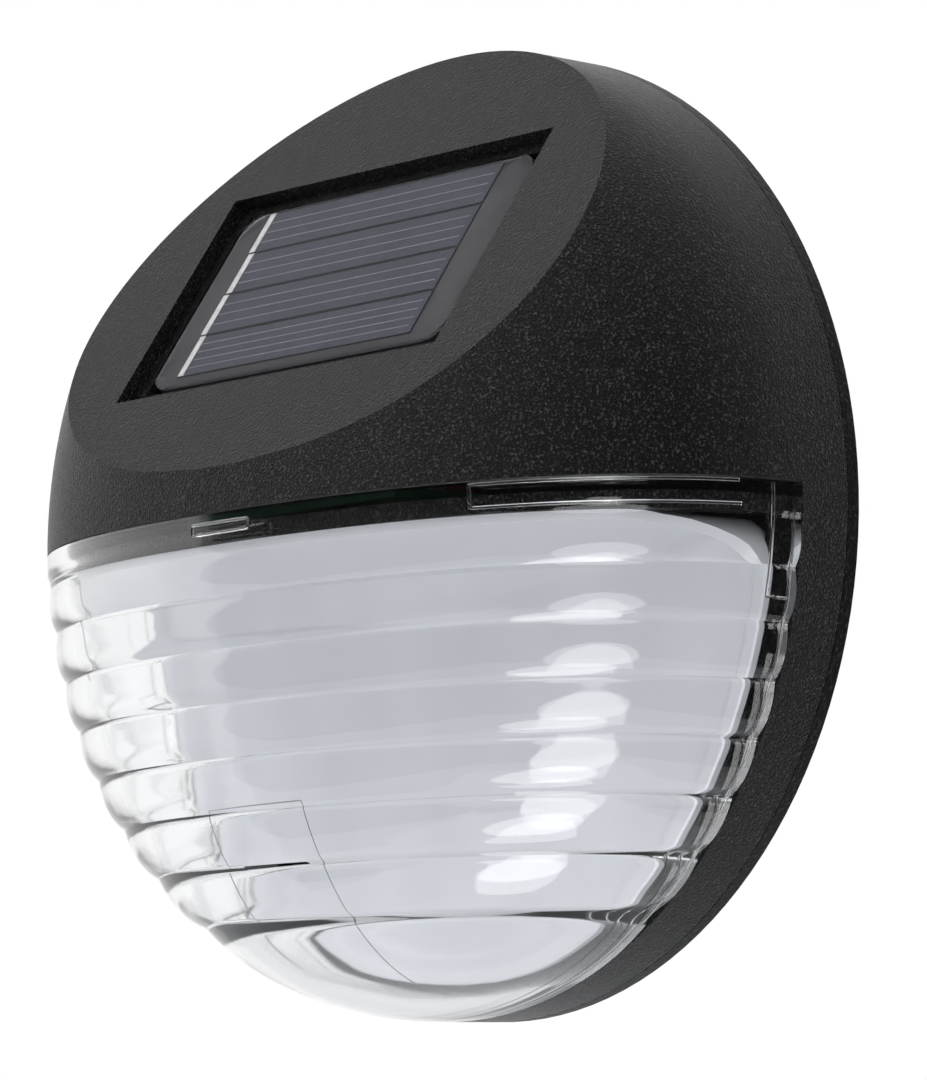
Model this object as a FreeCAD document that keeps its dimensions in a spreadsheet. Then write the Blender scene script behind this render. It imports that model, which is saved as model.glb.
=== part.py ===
import FreeCAD, Part
import math
import os
import re

import Sketcher
from FreeCAD import Placement, Rotation, Vector

# Solar fence light, a round dome that hangs on a wall. Millimetres.
# The origin is the centre of the rear face, -Y points out of the wall, +Z is up.
# "Depth" below is the distance in front of the wall, so depth = -Y.

doc = FreeCAD.newDocument("fence_light")

SIZES = {
    # body
    "body_radius": (57.3, "outer radius of the cover, the lens and the rear plate"),
    "plate_thick": (1.7, "thickness of the rear plate"),
    "plate_gap": (0.1, "parting line between rear plate and cover"),
    "side_depth": (8.9, "depth at which the straight side ends and the dome starts"),
    "dome_rise": (35.7, "height of the dome above the straight side"),
    "dome_power": (2.35, "exponent of the dome's superellipse"),
    "shell_wall": (2.3, "wall of the front cover"),
    "side_wall": (1.4, "wall of the cover's straight side"),
    "fit_gap": (0.3, "gap where one housing piece fits inside another"),
    "seat_gap": (0.05, "gap where one piece seats on another"),
    # facet, window and solar panel; "up" runs up the facet, "out" points out of it
    "facet_tilt": (35.3, "angle between the facet and the vertical, degrees"),
    "facet_depth": (27.2, "depth of the window's centre"),
    "facet_height": (29.74, "height of the window's centre"),
    "window_wide": (56.3, "width of the window"),
    "window_tall": (32.6, "length of the window up the facet"),
    "window_sink": (1.9, "depth of the window's ledge under the facet"),
    "panel_wide": (51.7, "width of the solar panel"),
    "panel_tall": (28.2, "length of the solar panel up the facet"),
    "panel_shift": (0.5, "how far the panel sits above the window's centre"),
    "panel_sink": (1.5, "depth of the panel's face under the facet"),
    "panel_corner": (3.5, "corner radius of the panel"),
    "board_thick": (1.6, "thickness of the panel's board"),
    "resin_thick": (0.4, "thickness of the resin over the cells"),
    "cell_thick": (0.2, "thickness of a cell strip"),
    "cell_wide": (41.3, "length of a cell strip across the panel"),
    "cell_shift": (-0.85, "how far right of the middle the cell strips sit"),
    "cell_pitch": (6.6, "distance from one cell strip to the next"),
    "cell_gap": (0.3, "gap between two cell strips"),
    "bar_wide": (1.1, "width of the busbar"),
    "bar_inset": (0.1, "distance from the strips' left ends to the busbar"),
    "tape_thick": (0.5, "thickness of the foam tape under the panel"),
    "tape_wide": (4.0, "width of the foam tape's frame"),
    "tray_wall": (1.6, "wall of the tray that holds the panel"),
    # lens and what it fits over
    "lens_wall": (2.6, "thickness of the lens between its ribs' tips and its inside"),
    "lens_seat": (9.0, "depth of the side wall's edge, which the lens stands on"),
    "moat_floor": (7.0, "depth of the ledge inside the lens"),
    "ledge_thick": (1.6, "thickness of that ledge"),
    "ledge_bore": (51.5, "radius of the opening inside the ledge"),
    "collar_wall": (1.2, "wall of the collar around that opening"),
    "collar_depth": (9.6, "depth of the collar's edge"),
    "top_gap": (0.15, "gap between the cover and the lens's top edge"),
    "rib_first": (9.4, "drop from the cover's edge to the first groove"),
    "rib_pitch": (6.1, "distance from one groove to the next"),
    "groove_sink": (0.6, "depth of a groove"),
    "groove_high": (1.3, "height of a groove"),
    "tab_wide": (9.3, "width of the small tab at the lens's top edge"),
    "tab_high": (1.4, "height of that tab"),
    "tab_proud": (0.25, "how far the tab stands out of the dome"),
    "latch_wide": (9.0, "width of a latch of the lens"),
    "latch_thick": (1.0, "thickness of a latch leg"),
    "latch_nose": (1.0, "how far a latch's nose reaches under the ledge"),
    # shelf and reflector
    "shelf_low": (3.4, "drop from the cover's edge to the shelf's underside"),
    "shelf_thick": (2.0, "thickness of the shelf"),
    "reflector_wall": (1.0, "wall of the reflector"),
    "reflector_back": (7.3, "depth of the reflector's rear face"),
    "reflector_flare": (1.4, "depth and width of the reflector's sloped rim"),
    "stake_radius": (1.2, "radius of the reflector's stakes"),
    "stake_place": (24.0, "distance of a stake from the middle"),
    # lamp board
    "lamp_board_wide": (36.0, "width of the circuit board"),
    "lamp_board_deep": (16.0, "size of the circuit board front to back"),
    "lamp_board_near": (17.0, "depth of the circuit board's rear edge"),
    "lamp_board_thick": (1.2, "thickness of the circuit board"),
    "lamp_post_high": (2.0, "height of the posts under the circuit board"),
    "lamp_screw_place": (15.0, "distance of a board screw from the middle"),
    "led_place": (9.0, "distance of an LED from the middle"),
    "led_size": (3.5, "side of an LED"),
    "led_high": (1.7, "height of an LED"),
    "led_hole": (2.9, "radius of the hole that an LED shines through"),
    "chip_wide": (5.0, "width of the control chip"),
    "chip_deep": (4.0, "size of the control chip front to back"),
    "chip_high": (1.6, "height of the control chip"),
    "coil_radius": (2.0, "radius of the inductor"),
    "coil_high": (4.0, "height of the inductor"),
    "can_radius": (2.5, "radius of the capacitor"),
    "can_high": (7.0, "height of the capacitor"),
    # screws
    "screw_circle": (51.0, "distance of a rear screw from the middle"),
    "screw_angle": (32.0, "angle of a rear screw above the horizontal, degrees"),
    "screw_shank": (1.25, "radius of a rear screw's shank"),
    "screw_head": (2.7, "radius of a rear screw's head"),
    "screw_head_high": (1.6, "height of a rear screw's head"),
    "screw_long": (4.2, "length of a rear screw under its head"),
    "screw_sink": (0.4, "how deep the head lies under the rear face"),
    "boss_radius": (4.5, "radius of a screw boss"),
    "pad_rise": (2.0, "how far the plate's screw pads stand up inside"),
    "small_shank": (0.9, "radius of a board screw's shank"),
    "small_head": (1.7, "radius of a board screw's head"),
    "small_head_high": (1.0, "height of a board screw's head"),
    "small_long": (3.6, "length of a board screw under its head"),
    # seal between plate and cover
    "seal_inner": (55.95, "inner radius of the seal ring"),
    "seal_wide": (0.9, "width of the seal ring"),
    "seal_high": (1.0, "height of the seal ring"),
    "spigot_wall": (1.4, "wall of the plate's locating ring"),
    "spigot_rise": (1.8, "how far the locating ring stands into the cover"),
    # battery bay and its door
    "cell_radius": (5.25, "radius of the AAA cell"),
    "cell_long": (44.5, "length of the AAA cell with its button"),
    "button_radius": (1.9, "radius of the cell's button"),
    "button_high": (1.0, "height of the cell's button"),
    "cell_height": (16.0, "height of the cell's axis"),
    "bay_wide": (53.0, "inner width of the battery bay"),
    "bay_room": (0.9, "gap around the cell in the bay"),
    "bay_wall": (2.4, "wall of the battery bay"),
    "bay_floor": (1.5, "wall between the bay and the inside"),
    "door_thick": (1.6, "thickness of the battery door"),
    "door_lap": (1.8, "how far the door laps over the bay's wall"),
    "door_gap": (0.3, "gap around the door"),
    "thumb_radius": (4.0, "radius of the thumb recess in the door"),
    "thumb_sink": (0.7, "depth of the thumb recess"),
    "contact_thick": (0.4, "thickness of a battery contact"),
    "contact_size": (9.0, "side of a battery contact"),
    "spring_radius": (3.2, "radius of the spring's wide end"),
    "spring_long": (5.2, "length of the pressed spring"),
    "lug_wide": (2.4, "width of a contact's solder lug"),
    "lug_reach": (3.0, "how far a solder lug stands out of the bay"),
    # slide switch
    "switch_height": (-22.0, "height of the switch"),
    "switch_wide": (8.6, "width of the switch"),
    "switch_high": (4.4, "height of the switch's case"),
    "switch_deep": (3.7, "size of the switch's case front to back"),
    "knob_wide": (1.6, "width of the knob"),
    "knob_high": (1.6, "height of the knob"),
    "knob_travel": (2.0, "travel of the knob"),
    "knob_sink": (0.3, "how deep the knob's end lies under the rear face"),
    "knob_foot": (1.2, "thickness of the knob's foot inside the switch"),
    "slot_room": (0.4, "gap around the knob"),
    # keyholes
    "keyhole_place": (24.0, "distance of a keyhole from the middle"),
    "keyhole_height": (-22.0, "height of a keyhole's entry"),
    "keyhole_entry": (4.25, "radius of a keyhole's entry"),
    "keyhole_slot": (2.2, "radius of a keyhole's slot"),
    "keyhole_rise": (8.0, "distance from the entry to the slot's end"),
    "keyhole_room": (4.0, "depth of the closed pocket behind a keyhole"),
    "keyhole_wall": (1.0, "wall of that pocket"),
    # wires
    "wire_radius": (0.55, "radius of an insulated wire"),
    "panel_wire_place": (3.0, "distance of a panel wire from the middle"),
    "panel_wire_up": (-7.5, "how far up the facet from the window's centre the panel wires start"),
    "battery_wire_place": (12.5, "distance of a battery wire's end from the middle"),
    "switch_wire_place": (2.5, "distance of a switch wire from the middle"),
}

sheet = doc.addObject("Spreadsheet::Sheet", "dims")
for row, (alias, (number, note)) in enumerate(SIZES.items(), start=1):
    sheet.set(f"A{row}", alias.replace("_", " "))
    sheet.set(f"B{row}", str(number))
    sheet.setAlias(f"B{row}", alias)
    sheet.set(f"C{row}", note)
doc.recompute()
size = {alias: float(sheet.get(alias)) for alias in SIZES}

# Places that follow from the sizes, as text for the expressions.
PLACES = {
    "cover_edge": "(plate_thick + plate_gap)",
    "dome_front": "(side_depth + dome_rise)",
    "bore_radius": "(body_radius - side_wall)",
    "lens_inside": "(body_radius - lens_wall)",
    "tray_sink": "(panel_sink + resin_thick + board_thick + tape_thick)",
    "panel_back": "(panel_sink + resin_thick + board_thick)",
    "cells_low": "(panel_shift + 0.65 - 2 * cell_pitch)",
    "shelf_top": "(shelf_thick - shelf_low)",
    "lamp_under": "(shelf_top + lamp_post_high)",
    "lamp_top": "(lamp_under + lamp_board_thick)",
    "lamp_mid": "(lamp_board_near + lamp_board_deep / 2)",
    "bay_high": "(2 * (cell_radius + bay_room))",
    "bay_low": "(cell_height - bay_high / 2)",
    "bay_deep": "(door_thick + 2 * (cell_radius + bay_room))",
    "cell_depth": "(door_thick + bay_room + cell_radius)",
    "door_wide": "(bay_wide + 2 * door_lap - 2 * door_gap)",
    "door_high": "(bay_high + 2 * door_lap - 2 * door_gap)",
    "screw_x": "(screw_circle * cos(screw_angle))",
    "screw_z": "(screw_circle * sin(screw_angle))",
    "pad_top": "(plate_thick + pad_rise)",
    "latch_out": "(lens_inside + latch_thick)",
    "shank_start": "(screw_sink + screw_head_high)",
    "nose_start": "(plate_thick + spigot_rise + fit_gap)",
}


def bound(text):
    """The text of an expression with every place and size written out."""
    while any(re.search(rf"\b{place}\b", text) for place in PLACES):
        for place, formula in PLACES.items():
            text = re.sub(rf"\b{place}\b", formula, text)
    for alias in SIZES:
        text = re.sub(rf"\b{alias}\b", f"dims.{alias}", text)
    return text


def bind(obj, **texts):
    for name, text in texts.items():
        obj.setExpression(name.replace("__", "."), bound(text))
    return obj


def block(name, mid_x, depth, low_z, wide, deep, high):
    """A box from its middle in X, its near depth and its lowest Z."""
    box = doc.addObject("Part::Box", name)
    bind(box, Length=wide, Width=deep, Height=high)
    bind(box, Placement__Base__x=f"{mid_x} - ({wide}) / 2",
         Placement__Base__y=f"-({depth}) - ({deep})", Placement__Base__z=low_z)
    return box


def rod(name, x, depth, z, radius, deep):
    """A cylinder that points out of the wall."""
    cylinder = doc.addObject("Part::Cylinder", name)
    cylinder.Placement = Placement(Vector(), Rotation(Vector(1, 0, 0), 90))
    bind(cylinder, Radius=radius, Height=deep, Placement__Base__x=x,
         Placement__Base__y=f"-({depth})", Placement__Base__z=z)
    return cylinder


def post(name, x, depth, low_z, radius, high):
    """A vertical cylinder."""
    cylinder = doc.addObject("Part::Cylinder", name)
    bind(cylinder, Radius=radius, Height=high, Placement__Base__x=x,
         Placement__Base__y=f"-({depth})", Placement__Base__z=low_z)
    return cylinder


def bar(name, left_x, depth, z, radius, wide):
    """A cylinder along X."""
    cylinder = doc.addObject("Part::Cylinder", name)
    cylinder.Placement = Placement(Vector(), Rotation(Vector(0, 1, 0), 90))
    bind(cylinder, Radius=radius, Height=wide, Placement__Base__x=left_x,
         Placement__Base__y=f"-({depth})", Placement__Base__z=z)
    return cylinder


def on_facet(name, mid_x, low_up, low_out, wide, up, out):
    """A box that lies on the facet, from its lowest edge up the facet and out of it."""
    box = doc.addObject("Part::Box", name)
    box.Placement = Placement(Vector(), Rotation(Vector(1, 0, 0), 45))
    bind(box, Length=wide, Width=up, Height=out, Placement__Rotation__Angle="90 - facet_tilt")
    bind(box, Placement__Base__x=f"{mid_x} - ({wide}) / 2",
         Placement__Base__y=f"({low_up}) * sin(facet_tilt) - ({low_out}) * cos(facet_tilt) - facet_depth",
         Placement__Base__z=f"({low_up}) * cos(facet_tilt) + ({low_out}) * sin(facet_tilt) + facet_height")
    return box


def fuse(name, *parts):
    joined = doc.addObject("Part::MultiFuse", name)
    joined.Shapes = list(parts)
    return joined


def common(name, *parts):
    shared = doc.addObject("Part::MultiCommon", name)
    shared.Shapes = list(parts)
    return shared


def cut(name, base, *tools):
    rest = doc.addObject("Part::Cut", name)
    rest.Base = base
    rest.Tool = tools[0] if len(tools) == 1 else fuse(f"{name}_tools", *tools)
    return rest


def ring(name, depth, inner, outer, deep):
    return cut(name, rod(f"{name}_out", "0", depth, "0", outer, deep),
               rod(f"{name}_in", "0", f"{depth} - 1", "0", inner, f"{deep} + 2"))


def group(name, *parts):
    """Identical loose pieces that share one node."""
    loose = doc.addObject("Part::Compound", name)
    loose.Links = list(parts)
    return loose


def dome(name, inset, from_depth):
    """The housing's round form, inset from its outer surface."""
    radius = size["body_radius"] - inset
    rise = size["dome_rise"] - inset
    power = 2 / size["dome_power"]
    side = size["side_depth"]
    steps = 16
    points = []
    for step in range(steps + 1):
        turn = math.pi / 2 * step / steps
        across = radius * max(math.cos(turn), 0.0) ** power if step < steps else 0.0
        points.append(Vector(across, -side - rise * math.sin(turn) ** power, 0))
    curve = Part.BSplineCurve()
    curve.interpolate(Points=points, InitialTangent=Vector(0, -1, 0), FinalTangent=Vector(-1, 0, 0))
    back = Vector(0, -from_depth, 0)
    corner = Vector(radius, -from_depth, 0)
    edges = [Part.makeLine(back, corner), Part.makeLine(corner, points[0]), curve.toShape(),
             Part.makeLine(points[-1], back)]
    solid = doc.addObject("Part::Feature", name)
    solid.Shape = Part.Face(Part.Wire(edges)).revolve(Vector(), Vector(0, 1, 0), 360)
    return solid


pieces = {}


def piece(label, obj):
    """Keep an object as a sub-part that gets its own file."""
    obj.Label = label
    pieces[label] = obj
    return obj


# ---- PartDesign helpers -------------------------------------------------

def new_body(name):
    return doc.addObject("PartDesign::Body", f"{name}_body")


def sketch_on(body, role, name, offset="0"):
    """A sketch on one of the body's own planes, moved along the plane's normal."""
    sketch = body.newObject("Sketcher::SketchObject", name)
    plane = [item for item in body.Origin.OriginFeatures if item.Role == role][0]
    sketch.AttachmentSupport = [(plane, "")]
    sketch.MapMode = "FlatFace"
    sketch.setExpression("AttachmentOffset.Base.z", bound(offset))
    return sketch


def constrain(sketch, kind, *arguments):
    """Add a sized constraint, whose last argument is an expression."""
    index = sketch.addConstraint(Sketcher.Constraint(kind, *arguments[:-1], 1.0))
    sketch.setExpression(f"Constraints[{index}]", bound(arguments[-1]))


def draw_circle(sketch, x, z, radius):
    circle = sketch.addGeometry(Part.Circle(Vector(1, 1, 0), Vector(0, 0, 1), 1), False)
    constrain(sketch, "DistanceX", -1, 1, circle, 3, x)
    constrain(sketch, "DistanceY", -1, 1, circle, 3, z)
    constrain(sketch, "Radius", circle, radius)


def draw_box(sketch, mid_x, low_z, wide, high):
    """A rectangle from its middle in X and its lowest edge."""
    corners = [Vector(-2, 1, 0), Vector(2, 1, 0), Vector(2, 3, 0), Vector(-2, 3, 0)]
    first = sketch.GeometryCount
    for start, end in zip(corners, corners[1:] + corners[:1]):
        sketch.addGeometry(Part.LineSegment(start, end), False)
    for side in range(4):
        sketch.addConstraint(Sketcher.Constraint("Coincident", first + side, 2, first + (side + 1) % 4, 1))
        sketch.addConstraint(Sketcher.Constraint("Vertical" if side % 2 else "Horizontal", first + side))
    constrain(sketch, "DistanceX", -1, 1, first, 1, f"{mid_x} - ({wide}) / 2")
    constrain(sketch, "DistanceY", -1, 1, first, 1, low_z)
    constrain(sketch, "DistanceX", first, 1, first, 2, wide)
    constrain(sketch, "DistanceY", first + 1, 1, first + 1, 2, high)


def pad(body, sketch, length):
    feature = body.newObject("PartDesign::Pad", f"{sketch.Name}_pad")
    feature.Profile = sketch
    return bind(feature, Length=length)


def pocket(body, sketch, length):
    """A pocket that goes from the sketch towards the front."""
    feature = body.newObject("PartDesign::Pocket", f"{sketch.Name}_pocket")
    feature.Profile = sketch
    feature.Reversed = True
    doc.recompute()
    before = feature.BaseFeature.Shape.Volume
    bind(feature, Length=length)
    doc.recompute()
    assert feature.Shape.Volume < before, f"{feature.Name} cuts nothing"
    return feature


# ---- front cover --------------------------------------------------------

facet_waste = on_facet("facet_waste", "0", "-3 * body_radius", "0", "4 * body_radius",
                       "6 * body_radius", "2 * body_radius")
cover_form = dome("cover_form", 0, size["plate_thick"] + size["plate_gap"])
upper_half = block("upper_half", "0", "0", "0", "3 * body_radius", "2 * dome_front", "2 * body_radius")
upper_form = cut("upper_form", common("upper_dome", cover_form, upper_half), facet_waste)

inner_form = dome("inner_form", size["lens_wall"] + size["fit_gap"], 0)
shelf_zone = block("shelf_zone", "0", "plate_thick + spigot_rise + fit_gap", "-shelf_low", "3 * body_radius",
                   "2 * dome_front", "shelf_low + 1")
shelf = cut("shelf", common("shelf_whole", inner_form, shelf_zone), facet_waste)
collar_zone = block("collar_zone", "0", "cover_edge", "-2 * body_radius", "3 * body_radius",
                    "collar_depth - cover_edge", "2 * body_radius")
collar = common("collar", collar_zone, rod("collar_rod", "0", "cover_edge", "0", "ledge_bore + collar_wall",
                                           "collar_depth - cover_edge"))
side_ring = cut("side_ring", rod("side_disc", "0", "cover_edge", "0", "body_radius", "lens_seat - cover_edge"),
                facet_waste)

room_form = dome("room_form", size["shell_wall"], 0)
room_zone = block("room_zone", "0", "-1", "shelf_top", "3 * body_radius", "2 * dome_front", "2 * body_radius")
facet_skin = on_facet("facet_skin", "0", "-3 * body_radius", "-shell_wall", "4 * body_radius",
                      "6 * body_radius", "2 * body_radius")
tray_outer = on_facet("tray_outer", "0", "-window_tall / 2 - tray_wall", "-tray_sink - tray_wall",
                      "window_wide + 2 * tray_wall", "window_tall + 2 * tray_wall", "2 * tray_sink")
room = cut("room", common("room_whole", room_form, room_zone), facet_skin, tray_outer)
lower_zone = block("lower_zone", "0", "-1", "-2 * body_radius - shelf_low", "3 * body_radius",
                   "collar_depth + 3", "2 * body_radius")
lower_bore = common("lower_bore", lower_zone, rod("ledge_hole", "0", "-1", "0", "ledge_bore",
                                                  "collar_depth + 3"))
side_hole = rod("side_hole", "0", "-1", "0", "bore_radius", "moat_floor - ledge_thick + 1")
lower_room = common("lower_room", lower_zone, side_hole)
upper_room = common("upper_room", room_zone, side_hole)
moat_zone = block("moat_zone", "0", "moat_floor", "-2 * body_radius - shelf_low", "3 * body_radius",
                  "lens_seat", "2 * body_radius")
moat = common("moat", moat_zone, ring("moat_ring", "moat_floor", "ledge_bore + collar_wall", "bore_radius",
                                      "lens_seat"))
spigot_room = rod("spigot_room", "0", "-1", "0", "bore_radius", "1 + plate_thick + spigot_rise + fit_gap")

bosses = []
pilots = []
for across in (-1, 1):
    for upward in (-1, 1):
        reach = "lens_seat + 3" if upward > 0 else "moat_floor - ledge_thick / 2"
        place = (f"{across} * screw_x", "pad_top + plate_gap", f"{upward} * screw_z")
        name = f"{'left' if across < 0 else 'right'}_{'lower' if upward < 0 else 'upper'}"
        bosses.append(rod(f"boss_{name}", *place, "boss_radius", f"{reach} - pad_top - plate_gap"))
        pilots.append(rod(f"pilot_{name}", *place, "screw_shank",
                          "shank_start + screw_long + 0.3 - pad_top - plate_gap"))

window = on_facet("window", "0", "-window_tall / 2", "-window_sink", "window_wide", "window_tall", "9")
well = on_facet("well", "0", "panel_shift - panel_tall / 2 - fit_gap", "-tray_sink",
                "panel_wide + 2 * fit_gap", "panel_tall + 2 * fit_gap", "9")
wire_hole = on_facet("wire_hole", "0", "panel_wire_up - 3", "-tray_sink - 9", "4 * panel_wire_place", "6", "9.5")
shelf_notch = block("shelf_notch", "0", "0", "-shelf_low - 1", "8 * switch_wire_place", "7", "shelf_thick + 2")
lamp_holes = [post(f"lamp_hole_{side}", f"{side} * led_place", "lamp_mid", "-2 * shelf_low", "led_hole",
                   "3 * shelf_low") for side in (-1, 1)]
stake_holes = [post(f"stake_hole_{side}", f"{side} * stake_place", "lamp_mid", "-2 * shelf_low",
                    "stake_radius + seat_gap", "3 * shelf_low") for side in (-1, 1)]
lamp_posts = [post(f"lamp_post_{side}", f"{side} * lamp_screw_place", "lamp_mid", "shelf_top - 0.5",
                   "small_shank + 1.4", "lamp_post_high + 0.5") for side in (-1, 1)]
lamp_pilots = [post(f"lamp_pilot_{side}", f"{side} * lamp_screw_place", "lamp_mid",
                    "lamp_top - small_long - 0.3", "small_shank", "small_long + 0.3") for side in (-1, 1)]


def latch_zones(name, room_beside):
    """The three places around the lens that hold a latch."""
    side = f"latch_wide + 2 * {room_beside}"
    return fuse(
        f"{name}_zones",
        block(f"{name}_right", "body_radius", "0", f"-1 - latch_wide - {room_beside}", "30", "40", side),
        block(f"{name}_left", "-body_radius", "0", f"-1 - latch_wide - {room_beside}", "30", "40", side),
        block(f"{name}_bottom", "0", "0", "-body_radius - 9", side, "40", "30"))


latch_slots = common("latch_slots", latch_zones("slot", "fit_gap"),
                     ring("slot_ring", "cover_edge", "lens_inside - fit_gap", "latch_out + fit_gap / 2",
                          "lens_seat + 1 - cover_edge"))

cover_solid = fuse("cover_solid", upper_form, shelf, collar, side_ring)
cover_hollow = cut("cover_hollow", cover_solid, room, lower_bore, lower_room, upper_room,
                   spigot_room, moat)
cover_bossed = fuse("cover_bossed", cover_hollow, *bosses, *lamp_posts)
piece("front_cover", cut("front_cover", cover_bossed, *pilots, window, well, wire_hole, shelf_notch,
                         *lamp_holes, *stake_holes, *lamp_pilots, latch_slots))

# ---- lens ---------------------------------------------------------------

lens_form = dome("lens_form", 0, size["lens_seat"] + size["seat_gap"])
lens_room = dome("lens_room", size["lens_wall"], 0)
lens_half = block("lens_half", "0", "0", "-top_gap - 3 * body_radius", "3 * body_radius",
                  "2 * dome_front", "3 * body_radius")
groove_form = dome("groove_form", size["groove_sink"], 0)
groove_shell = cut("groove_shell", lens_form, groove_form)
rib_count = int((size["body_radius"] - size["rib_first"]) // size["rib_pitch"])
groove_bands = [block(f"groove_band_{number}", "0", "side_depth + 0.5",
                      f"-rib_first - {number} * rib_pitch - groove_high / 2", "3 * body_radius",
                      "2 * dome_front", "groove_high") for number in range(rib_count)]
grooves = common("grooves", groove_shell, group("groove_stack", *groove_bands))
lens_tab = block("lens_tab", "0", "dome_front - lens_wall", "-top_gap - tab_high", "tab_wide",
                 "lens_wall + tab_proud", "tab_high")
lens_shell = cut("lens_shell", common("lens_whole", lens_form, lens_half), lens_room, grooves)
legs = common("legs", latch_zones("leg", "0"),
              ring("leg_ring", "nose_start", "lens_inside + 0.05", "latch_out", "lens_seat + 0.5 - nose_start"))
below_shelf = block("below_shelf", "0", "0", "-shelf_low - fit_gap - 2 * body_radius", "3 * body_radius",
                    "2 * dome_front", "2 * body_radius")
noses = common("noses", latch_zones("nose", "0"), below_shelf,
               ring("nose_ring", "nose_start", "lens_inside + 0.05 - latch_nose", "latch_out",
                    "moat_floor - ledge_thick - fit_gap - nose_start"))
piece("lens", fuse("lens", lens_shell, lens_tab, legs, noses))

# ---- reflector ----------------------------------------------------------


def dish(name, lift):
    """The dished back of the reflector as a solid cone, lifted by its wall for the hollow."""
    cone = doc.addObject("Part::Cone", name)
    cone.Placement = Placement(Vector(), Rotation(Vector(1, 0, 0), 90))
    rim = "(ledge_bore - fit_gap)"
    bind(cone, Radius1=f"{rim} - reflector_flare - ({lift}) * 0.4", Radius2=f"{rim} - ({lift})",
         Height="reflector_flare", Placement__Base__y=f"-reflector_back - ({lift})")
    return cone


lip = ring("lip", "reflector_back + reflector_flare", "ledge_bore - fit_gap - reflector_wall",
           "ledge_bore - fit_gap",
           "collar_depth + seat_gap + reflector_wall / 2 - reflector_back - reflector_flare")
flange = ring("flange", "collar_depth + seat_gap", "ledge_bore - fit_gap - reflector_wall",
              "ledge_bore + collar_wall + fit_gap", "reflector_wall")
dish_shell = cut("dish_shell", dish("dish_outer", "0"), dish("dish_inner", "reflector_wall"))
dish_zone = block("dish_zone", "0", "0", "-shelf_low - seat_gap - 2 * body_radius", "3 * body_radius",
                  "2 * dome_front", "2 * body_radius")
roof_form = dome("roof_form", size["lens_wall"] + size["fit_gap"] + size["reflector_wall"], 0)
roof_zone = block("roof_zone", "0", "reflector_back", "-shelf_low - seat_gap - reflector_wall",
                  "2 * (ledge_bore - fit_gap)", "2 * dome_front", "reflector_wall")
roof_round = rod("roof_round", "0", "0", "0", "ledge_bore - fit_gap", "2 * dome_front")
roof = cut("roof", common("roof_whole", roof_form, roof_zone, roof_round),
           *[post(f"roof_hole_{side}", f"{side} * led_place", "lamp_mid", "-3 * shelf_low", "led_hole",
                  "4 * shelf_low") for side in (-1, 1)],
           *[post(f"screw_clear_{side}", f"{side} * lamp_screw_place", "lamp_mid", "-3 * shelf_low",
                  "small_shank + 0.2", "4 * shelf_low") for side in (-1, 1)])
stakes = [post(f"stake_{side}", f"{side} * stake_place", "lamp_mid",
               "-shelf_low - seat_gap - reflector_wall / 2", "stake_radius",
               "shelf_thick + seat_gap + reflector_wall / 2 + 0.6") for side in (-1, 1)]
lower_dish = common("lower_dish", fuse("dish_and_lip", dish_shell, lip, flange), dish_zone)
piece("reflector", fuse("reflector", lower_dish, roof, *stakes))

# ---- solar panel --------------------------------------------------------


def rounded_plate(name, wide, tall, low_out, thick):
    """A plate on the facet with the panel's corners."""
    plate = on_facet(f"{name}_plate", "0", f"panel_shift - ({tall}) / 2", low_out, wide, tall, thick)
    doc.recompute()
    direction = plate.Placement.Rotation.multVec(Vector(0, 0, 1))
    corners = doc.addObject("Part::Fillet", name)
    corners.Base = plate
    upright = [number for number, edge in enumerate(plate.Shape.Edges, start=1)
               if abs(abs(edge.tangentAt(edge.FirstParameter).dot(direction)) - 1) < 1e-6]
    corners.Edges = [(number, size["panel_corner"], size["panel_corner"]) for number in upright]
    return corners


piece("panel_board", rounded_plate("panel_board", "panel_wide", "panel_tall", "-panel_back", "board_thick"))
strips = [on_facet(f"strip_{number}", "cell_shift", f"cells_low + {number} * cell_pitch + cell_gap / 2",
                   "-panel_sink - resin_thick", "cell_wide", "cell_pitch - cell_gap", "cell_thick")
          for number in range(4)]
piece("solar_cell_strips", group("solar_cell_strips", *strips))
bars = [on_facet(f"bar_{number}", "cell_shift + bar_inset + bar_wide / 2 - cell_wide / 2",
                 f"cells_low + {number} * cell_pitch + cell_gap / 2", "cell_thick - panel_sink - resin_thick",
                 "bar_wide", "cell_pitch - cell_gap", "cell_thick / 2") for number in range(4)]
piece("panel_busbars", group("panel_busbars", *bars))
resin_plate = rounded_plate("resin_plate", "panel_wide", "panel_tall", "-panel_sink - resin_thick",
                            "resin_thick")
cell_room = [on_facet(f"cell_room_{number}", "cell_shift", f"cells_low + {number} * cell_pitch + cell_gap / 2",
                      "-panel_sink - resin_thick", "cell_wide", "cell_pitch - cell_gap",
                      "cell_thick * 1.5") for number in range(4)]
piece("panel_resin", cut("panel_resin", resin_plate, *cell_room))
tape_whole = on_facet("tape_whole", "0", "panel_shift - panel_tall / 2", "-tray_sink", "panel_wide",
                      "panel_tall", "tape_thick")
tape_window = on_facet("tape_window", "0", "panel_shift - panel_tall / 2 + tape_wide", "-tray_sink - 1",
                       "panel_wide - 2 * tape_wide", "panel_tall - 2 * tape_wide", "tape_thick + 2")
piece("panel_tape", cut("panel_tape", tape_whole, tape_window))

# ---- circuit board and what it carries ----------------------------------

board_body = new_body("circuit_board")
board_outline = sketch_on(board_body, "XY_Plane", "board_outline", "lamp_under")
draw_box(board_outline, "0", "-lamp_board_near - lamp_board_deep", "lamp_board_wide", "lamp_board_deep")
for side in (-1, 1):
    draw_circle(board_outline, f"{side} * lamp_screw_place", "-lamp_mid", "small_shank + 0.2")
pad(board_body, board_outline, "lamp_board_thick")
piece("circuit_board", board_body)

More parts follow.
